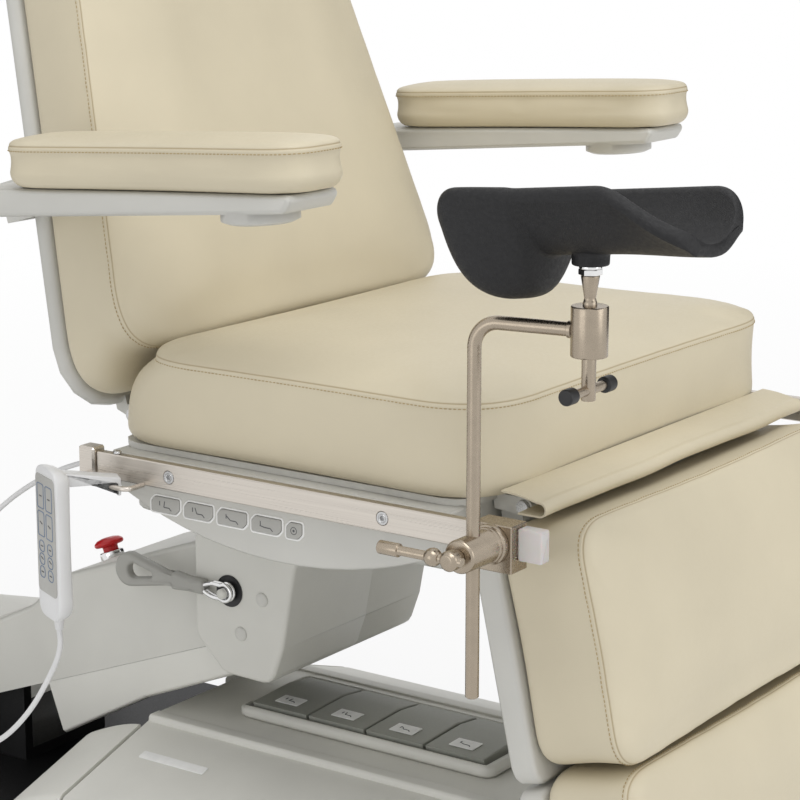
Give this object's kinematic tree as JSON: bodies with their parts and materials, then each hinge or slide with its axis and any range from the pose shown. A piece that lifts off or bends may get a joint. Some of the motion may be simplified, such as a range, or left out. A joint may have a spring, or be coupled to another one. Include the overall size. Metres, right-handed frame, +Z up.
{
  "type": "examination table",
  "caption": "Lifting, swivelling examination table in chair position: padded seat, reclining back, folding armrests, leg rest, accessory rail with a knee-crutch leg support, handset and pedals.",
  "frame": {"origin": "on the floor, on the base plate's underside, 90 mm in front of the seat's swivel axis", "axes": "+Z up, -Y the way the patient faces, -X the patient's right, where the leg support hangs on the rail"},
  "size_m": [0.7522, 1.27, 1.2493],
  "materials": {
    "vinyl": "satin",
    "grey_plastic": "satin",
    "head_plastic": "satin",
    "light_plastic": "satin",
    "pedal_plastic": "matt",
    "clear_plastic": "translucent",
    "red_plastic": "gloss",
    "black_foam": "grained",
    "satin_steel": "brushed",
    "nickel": "satin nickel",
    "steel": "turned",
    "chrome": "bright",
    "grey_metal": "satin",
    "dark_metal": "matt"
  },
  "bodies": {
    "base": {"base_plate": "dark_metal", "base_front_cover": "grey_plastic", "base_rear_cover": "grey_plastic", "lift_yoke": "dark_metal", "pedal_console": "grey_plastic"},
    "pedal_1": {"pedal_1": "pedal_plastic"},
    "pedal_2": {"pedal_2": "pedal_plastic"},
    "pedal_3": {"pedal_3": "pedal_plastic"},
    "pedal_4": {"pedal_4": "pedal_plastic"},
    "lift_arm": {"arm_beam": "dark_metal", "arm_upper_cover": "head_plastic", "arm_lower_cover": "head_plastic", "lift_motor": "dark_metal"},
    "link": {"levelling_link": "steel"},
    "stop": {"stop_button": "red_plastic"},
    "head": {"head_pin": "steel", "head_housing": "head_plastic", "head_far_cover": "head_plastic", "swivel_bearing": "steel"},
    "brake": {"brake_lever": "light_plastic", "lever_fork": "chrome"},
    "seat": {"seat_tray": "grey_plastic", "seat_frame": "grey_metal", "side_console": "grey_plastic", "seat_cushion": "vinyl", "seat_flap": "vinyl", "side_rail_right": "satin_steel", "side_rail_left": "satin_steel", "rail_bolt_1": "steel", "rail_bolt_2": "steel", "rail_cap_right": "clear_plastic", "rail_cap_left": "clear_plastic", "rail_stop": "satin_steel", "handset_hook": "satin_steel", "handset": "light_plastic", "handset_cord": "light_plastic", "back_hinge_shaft": "steel", "leg_hinge_shaft": "steel"},
    "key_1": {"console_key_1": "light_plastic"},
    "key_2": {"console_key_2": "light_plastic"},
    "key_3": {"console_key_3": "light_plastic"},
    "key_4": {"console_key_4": "light_plastic"},
    "key_5": {"console_key_5": "light_plastic"},
    "back": {"backrest_shell": "grey_plastic", "backrest_cushion": "vinyl"},
    "armrest_right": {"armrest_base_right": "grey_plastic", "armrest_pad_right": "vinyl"},
    "armrest_left": {"armrest_base_left": "grey_plastic", "armrest_pad_left": "vinyl"},
    "leg": {"legrest_shell": "grey_plastic", "legrest_cushion": "vinyl"},
    "foot": {"footrest_shell": "grey_plastic", "footrest_cushion": "vinyl"},
    "clamp": {"rail_clamp": "nickel"},
    "collar": {"clamp_collar": "nickel"},
    "handle": {"clamp_handle": "nickel"},
    "rod": {"support_rod": "nickel"},
    "lock": {"lock_bar": "nickel"},
    "crutch": {"crutch_stem": "nickel", "crutch_shell": "black_foam"}
  },
  "joints": [
    {"name": "pedal_1_rock", "type": "hinge", "parent": "base", "child": "pedal_1", "pos_m": [0, 0.1103, 0.1378], "axis": [0, 1, 0], "range_deg": [-4, 4], "stiffness_Nm_per_rad": 3},
    {"name": "pedal_2_rock", "type": "hinge", "parent": "base", "child": "pedal_2", "pos_m": [0, 0.0348, 0.1378], "axis": [0, 1, 0], "range_deg": [-4, 4], "stiffness_Nm_per_rad": 3},
    {"name": "pedal_3_rock", "type": "hinge", "parent": "base", "child": "pedal_3", "pos_m": [0, -0.0408, 0.1378], "axis": [0, 1, 0], "range_deg": [-4, 4], "stiffness_Nm_per_rad": 3},
    {"name": "pedal_4_rock", "type": "hinge", "parent": "base", "child": "pedal_4", "pos_m": [0, -0.1163, 0.1378], "axis": [0, 1, 0], "range_deg": [-4, 4], "stiffness_Nm_per_rad": 3},
    {"name": "lift", "type": "hinge", "parent": "base", "child": "lift_arm", "pos_m": [0, 0.5, 0.115], "axis": [-1, 0, 0], "range_deg": [0, 36]},
    {"name": "link_turn", "type": "hinge", "parent": "base", "child": "link", "pos_m": [0, 0.51194, 0.14684], "axis": [-1, 0, 0], "range_deg": [0, 36]},
    {"name": "head_level", "type": "hinge", "parent": "lift_arm", "child": "head", "pos_m": [0, 0.085, 0.27063], "axis": [-1, 0, 0], "range_deg": [-36, 0]},
    {"name": "stop_press", "type": "slide", "parent": "lift_arm", "child": "stop", "axis": [0, -0.3511, -0.9363], "range_m": [0, 0.005], "stiffness_N_per_m": 800},
    {"name": "brake_lift", "type": "hinge", "parent": "head", "child": "brake", "pos_m": [-0.132, 0.1155, 0.2965], "axis": [1, 0, 0], "range_deg": [0, 30]},
    {"name": "seat_swivel", "type": "hinge", "parent": "head", "child": "seat", "pos_m": [0, 0.09, 0.398], "axis": [0, 0, 1], "range_deg": [-25, 90]},
    {"name": "key_1_press", "type": "slide", "parent": "seat", "child": "key_1", "axis": [1, 0, 0], "range_m": [0, 0.0015], "stiffness_N_per_m": 600},
    {"name": "key_2_press", "type": "slide", "parent": "seat", "child": "key_2", "axis": [1, 0, 0], "range_m": [0, 0.0015], "stiffness_N_per_m": 600},
    {"name": "key_3_press", "type": "slide", "parent": "seat", "child": "key_3", "axis": [1, 0, 0], "range_m": [0, 0.0015], "stiffness_N_per_m": 600},
    {"name": "key_4_press", "type": "slide", "parent": "seat", "child": "key_4", "axis": [1, 0, 0], "range_m": [0, 0.0015], "stiffness_N_per_m": 600},
    {"name": "key_5_press", "type": "slide", "parent": "seat", "child": "key_5", "axis": [1, 0, 0], "range_m": [0, 0.0015], "stiffness_N_per_m": 600},
    {"name": "back_recline", "type": "hinge", "parent": "seat", "child": "back", "pos_m": [0, 0.172, 0.492], "axis": [-1, 0, 0], "range_deg": [0, 73]},
    {"name": "armrest_right_fold", "type": "hinge", "parent": "back", "child": "armrest_right", "pos_m": [-0.315, 0.225, 0.72], "axis": [-1, 0, 0], "range_deg": [0, 95]},
    {"name": "armrest_left_fold", "type": "hinge", "parent": "back", "child": "armrest_left", "pos_m": [0.315, 0.225, 0.72], "axis": [-1, 0, 0], "range_deg": [0, 95]},
    {"name": "leg_raise", "type": "hinge", "parent": "seat", "child": "leg", "pos_m": [0, -0.302, 0.474], "axis": [-1, 0, 0], "range_deg": [0, 77], "deforming": ["seat_flap"]},
    {"name": "foot_slide", "type": "slide", "parent": "leg", "child": "foot", "axis": [0, -0.2175, -0.9761], "range_m": [0, 0.08]},
    {"name": "clamp_slide", "type": "slide", "parent": "seat", "child": "clamp", "axis": [0, 1, 0], "range_m": [0, 0.13]},
    {"name": "collar_tilt", "type": "hinge", "parent": "clamp", "child": "collar", "pos_m": [-0.345, -0.331, 0.4675], "axis": [1, 0, 0], "range_deg": [0, 30]},
    {"name": "handle_turn", "type": "hinge", "parent": "collar", "child": "handle", "pos_m": [-0.37, -0.331, 0.4675], "axis": [1, 0, 0], "continuous": true},
    {"name": "rod_height", "type": "slide", "parent": "collar", "child": "rod", "axis": [0, 0, 1], "range_m": [-0.08, 0.1]},
    {"name": "lock_turn", "type": "hinge", "parent": "rod", "child": "lock", "pos_m": [-0.32904, -0.43174, 0.64], "axis": [0, 0, 1], "continuous": true},
    {"name": "crutch_turn", "type": "hinge", "parent": "rod", "child": "crutch", "pos_m": [-0.32904, -0.43174, 0.69], "axis": [0, 0, 1], "range_deg": [-30, 30]}
  ],
  "couplings": [
    {"joint": "link_turn", "follows": "lift", "ratio": 1},
    {"joint": "head_level", "follows": "lift", "ratio": -1}
  ]
}
